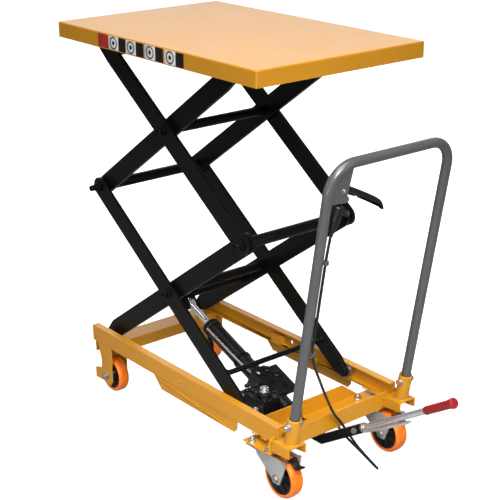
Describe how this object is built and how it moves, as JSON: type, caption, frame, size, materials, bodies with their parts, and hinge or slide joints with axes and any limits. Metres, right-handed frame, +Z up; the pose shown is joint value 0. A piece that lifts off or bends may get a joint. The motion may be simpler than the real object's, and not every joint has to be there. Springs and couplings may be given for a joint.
{
  "type": "scissor lift table",
  "caption": "Wheeled foot-pumped lift table: double scissor arms raise a steel platform; push handle with lowering lever.",
  "frame": {"origin": "on the floor, under the centre of the overall length and width", "axes": "+X towards the handle and the pedal, +Y across the table to the operator's right when facing it from the handle end, +Z up"},
  "size_m": [1.0346, 0.45, 0.922],
  "materials": {
    "orange_paint": "gloss powder coat",
    "black_paint": "satin enamel",
    "grey_paint": "satin enamel",
    "zinc": "bright zinc plate",
    "chrome": "polished",
    "orange_tyre": "smooth polyurethane tread",
    "wheel_core": "moulded nylon",
    "black_plastic": "moulded",
    "red_rubber": "soft grip"
  },
  "bodies": {
    "base": {"rail_near": "orange_paint", "rail_far": "orange_paint", "rear_cross_member": "orange_paint", "caster_tray": "orange_paint", "handle_socket_near": "orange_paint", "handle_socket_far": "orange_paint", "fixed_fork_near": "orange_paint", "fixed_fork_far": "orange_paint", "caster_plate_near": "zinc", "caster_plate_far": "zinc", "pump_block": "black_paint", "release_valve_stem": "chrome", "pedal_bracket": "black_paint", "ram_cradle": "black_paint", "handle": "grey_paint", "handle_gusset": "grey_paint", "cable_boot": "black_plastic", "release_cable": "black_plastic"},
    "lower_inner_arms": {"lower_inner_arm_near": "black_paint", "lower_inner_arm_far": "black_paint", "lower_centre_shaft": "black_paint", "mid_roller_end_shaft": "black_paint", "ram_crossbar": "black_paint"},
    "lower_outer_arms": {"lower_outer_arm_near": "black_paint", "lower_outer_arm_far": "black_paint", "lower_tie_bar": "black_paint"},
    "upper_outer_arms": {"upper_outer_arm_near": "black_paint", "upper_outer_arm_far": "black_paint", "upper_tie_bar": "black_paint"},
    "upper_inner_arms": {"upper_inner_arm_near": "black_paint", "upper_inner_arm_far": "black_paint", "mid_pivot_end_shaft": "black_paint", "upper_centre_shaft": "black_paint"},
    "platform": {"platform": "orange_paint", "platform_track_near": "orange_paint", "platform_track_far": "orange_paint"},
    "ram_rod": {"ram_rod": "chrome"},
    "ram_barrel": {"ram_barrel": "black_paint"},
    "pedal": {"pedal_arm": "black_paint", "pedal_tube": "zinc", "pedal_grip": "red_rubber"},
    "pump_plunger": {"pump_plunger": "chrome"},
    "release_trigger": {"release_trigger": "black_plastic"},
    "release_valve_lever": {"release_valve_lever": "zinc"},
    "base_roller_near": {"base_roller_near": "zinc"},
    "platform_roller_near": {"platform_roller_near": "zinc"},
    "fixed_wheel_near": {"fixed_wheel_near_tyre": "orange_tyre", "fixed_wheel_near_core": "wheel_core"},
    "caster_near": {"caster_fork_near": "zinc"},
    "caster_wheel_near": {"caster_wheel_near_tyre": "orange_tyre", "caster_wheel_near_core": "wheel_core"},
    "caster_brake_near": {"caster_brake_near": "black_plastic"},
    "base_roller_far": {"base_roller_far": "zinc"},
    "platform_roller_far": {"platform_roller_far": "zinc"},
    "fixed_wheel_far": {"fixed_wheel_far_tyre": "orange_tyre", "fixed_wheel_far_core": "wheel_core"},
    "caster_far": {"caster_fork_far": "zinc"},
    "caster_wheel_far": {"caster_wheel_far_tyre": "orange_tyre", "caster_wheel_far_core": "wheel_core"},
    "caster_brake_far": {"caster_brake_far": "black_plastic"}
  },
  "joints": [
    {"name": "lift", "type": "hinge", "parent": "base", "child": "lower_inner_arms", "pos_m": [-0.48835, 0, 0.145], "axis": [0, -1, 0], "range_deg": [-29.4, 10.3]},
    {"name": "lower_centre_pivot", "type": "hinge", "parent": "lower_inner_arms", "child": "lower_outer_arms", "pos_m": [-0.22099, 0, 0.335], "axis": [0, -1, 0], "range_deg": [-20.8, 59]},
    {"name": "mid_pivot", "type": "hinge", "parent": "lower_inner_arms", "child": "upper_outer_arms", "pos_m": [0.04638, 0, 0.52501], "axis": [0, -1, 0], "range_deg": [-20.8, 59]},
    {"name": "upper_centre_pivot", "type": "hinge", "parent": "upper_outer_arms", "child": "upper_inner_arms", "pos_m": [-0.22099, 0, 0.71501], "axis": [0, -1, 0], "range_deg": [-59, 20.8]},
    {"name": "platform_pivot", "type": "hinge", "parent": "upper_outer_arms", "child": "platform", "pos_m": [-0.48835, 0, 0.90502], "axis": [0, -1, 0], "range_deg": [-29.6, 10.5]},
    {"name": "ram_pivot", "type": "hinge", "parent": "lower_inner_arms", "child": "ram_rod", "pos_m": [-0.28639, -0.04, 0.25786], "axis": [0, -1, 0], "range_deg": [-15.26, 43.18]},
    {"name": "ram_stroke", "type": "slide", "parent": "ram_rod", "child": "ram_barrel", "axis": [0.9296, 0, -0.3685], "range_m": [-0.06648, 0.02342]},
    {"name": "base_roller_near_spin", "type": "hinge", "parent": "lower_outer_arms", "child": "base_roller_near", "pos_m": [0.04638, -0.162, 0.145], "axis": [0, 1, 0], "continuous": true},
    {"name": "platform_roller_near_spin", "type": "hinge", "parent": "upper_inner_arms", "child": "platform_roller_near", "pos_m": [0.04638, -0.147, 0.90502], "axis": [0, 1, 0], "continuous": true},
    {"name": "fixed_wheel_near_spin", "type": "hinge", "parent": "base", "child": "fixed_wheel_near", "pos_m": [-0.46335, -0.148, 0.045], "axis": [0, 1, 0], "continuous": true},
    {"name": "caster_near_swivel", "type": "hinge", "parent": "base", "child": "caster_near", "pos_m": [0.14465, -0.155, 0.098], "axis": [0, 0, 1], "continuous": true},
    {"name": "caster_wheel_near_spin", "type": "hinge", "parent": "caster_near", "child": "caster_wheel_near", "pos_m": [0.18865, -0.155, 0.048], "axis": [0, 1, 0], "continuous": true},
    {"name": "caster_brake_near_pivot", "type": "hinge", "parent": "caster_near", "child": "caster_brake_near", "pos_m": [0.21365, -0.155, 0.0952], "axis": [0, 1, 0], "range_deg": [-3, 6]},
    {"name": "base_roller_far_spin", "type": "hinge", "parent": "lower_outer_arms", "child": "base_roller_far", "pos_m": [0.04638, 0.162, 0.145], "axis": [0, 1, 0], "continuous": true},
    {"name": "platform_roller_far_spin", "type": "hinge", "parent": "upper_inner_arms", "child": "platform_roller_far", "pos_m": [0.04638, 0.147, 0.90502], "axis": [0, 1, 0], "continuous": true},
    {"name": "fixed_wheel_far_spin", "type": "hinge", "parent": "base", "child": "fixed_wheel_far", "pos_m": [-0.46335, 0.148, 0.045], "axis": [0, 1, 0], "continuous": true},
    {"name": "caster_far_swivel", "type": "hinge", "parent": "base", "child": "caster_far", "pos_m": [0.14465, 0.155, 0.098], "axis": [0, 0, 1], "continuous": true},
    {"name": "caster_wheel_far_spin", "type": "hinge", "parent": "caster_far", "child": "caster_wheel_far", "pos_m": [0.18865, 0.155, 0.048], "axis": [0, 1, 0], "continuous": true},
    {"name": "caster_brake_far_pivot", "type": "hinge", "parent": "caster_far", "child": "caster_brake_far", "pos_m": [0.21365, 0.155, 0.0952], "axis": [0, 1, 0], "range_deg": [-3, 6]},
    {"name": "pedal_pivot", "type": "hinge", "parent": "base", "child": "pedal", "pos_m": [0.06865, 0, 0.062], "axis": [0, 1, 0], "range_deg": [0, 22], "stiffness_Nm_per_rad": 60, "springref_deg": -34.38},
    {"name": "plunger_stroke", "type": "slide", "parent": "base", "child": "pump_plunger", "axis": [0, 0, 1], "range_m": [0, 0.0108]},
    {"name": "trigger_pivot", "type": "hinge", "parent": "base", "child": "release_trigger", "pos_m": [0.31728, -0.123, 0.70163], "axis": [0.9851, 0, -0.1719], "range_deg": [0, 14], "stiffness_Nm_per_rad": 2, "springref_deg": -17.19},
    {"name": "valve_lever_pivot", "type": "hinge", "parent": "base", "child": "release_valve_lever", "pos_m": [0.04865, -0.1154, 0.134], "axis": [0, -1, 0], "range_deg": [0, 28.5]}
  ],
  "couplings": [
    {"joint": "lower_centre_pivot", "follows": "lift", "ratio": -2},
    {"joint": "mid_pivot", "follows": "lift", "ratio": -2},
    {"joint": "upper_centre_pivot", "follows": "lift", "ratio": 2},
    {"joint": "platform_pivot", "follows": "lift", "ratio": 1},
    {"joint": "ram_pivot", "follows": "lift", "ratio": -1.4619},
    {"joint": "ram_stroke", "follows": "lift", "m_per_rad": 0.12917},
    {"joint": "plunger_stroke", "follows": "pedal_pivot", "m_per_rad": 0.027},
    {"joint": "valve_lever_pivot", "follows": "trigger_pivot", "ratio": 2}
  ]
}
